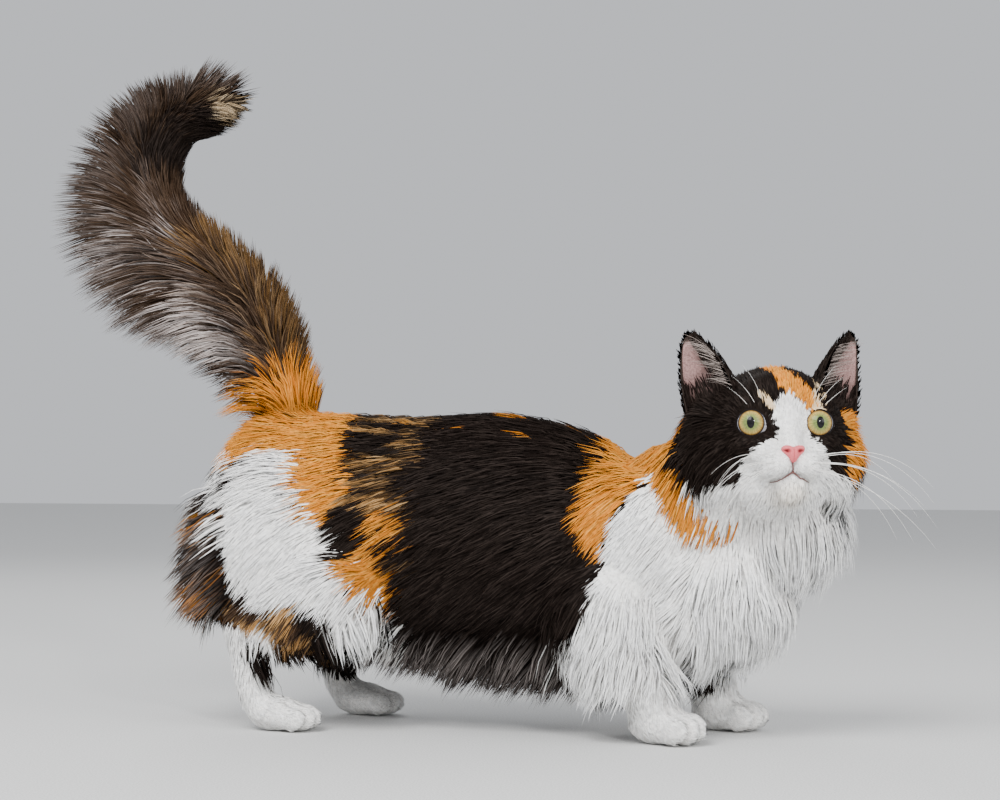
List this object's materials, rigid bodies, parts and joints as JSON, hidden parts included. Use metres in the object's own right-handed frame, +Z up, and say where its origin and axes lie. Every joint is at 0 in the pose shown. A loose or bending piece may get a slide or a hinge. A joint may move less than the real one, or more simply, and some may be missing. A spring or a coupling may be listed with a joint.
{
  "type": "munchkin cat",
  "caption": "Life-size standing munchkin cat with short legs, semi-long tricolour coat, raised plumed tail and turned head.",
  "frame": {"origin": "on the floor under the middle of the model's box", "axes": "+X to the front of the cat's body, +Y to its left side, +Z up"},
  "size_m": [0.5878, 0.1974, 0.4304],
  "materials": {
    "head": "short dense fur: black, ginger and white",
    "ruff": "semi-long fur: white bib, ginger nape",
    "body": "semi-long fur, black brown",
    "rump": "semi-long fur, ginger",
    "plume": "long fur, black brown with smoky tips",
    "foreleg": "white fur",
    "paw": "short white fur",
    "hindleg": "short white fur",
    "ear": "thin skin, black fur outside, pink inside",
    "eye": "moist, clear, gold iris",
    "nose": "moist pink skin"
  },
  "bodies": {
    "root": {"chest": "ruff", "ear_left": "ear", "ear_right": "ear", "eye_left": "eye", "eye_right": "eye", "foreleg_left": "foreleg", "foreleg_right": "foreleg", "forepaw_left": "paw", "forepaw_right": "paw", "head": "head", "hindleg_left": "hindleg", "hindleg_right": "hindleg", "hindpaw_left": "paw", "hindpaw_right": "paw", "hock_left": "hindleg", "hock_right": "hindleg", "neck": "ruff", "nose": "nose", "rump": "rump", "tail_middle": "plume", "tail_root": "plume", "tail_tip": "plume", "torso": "body"}
  },
  "joints": []
}
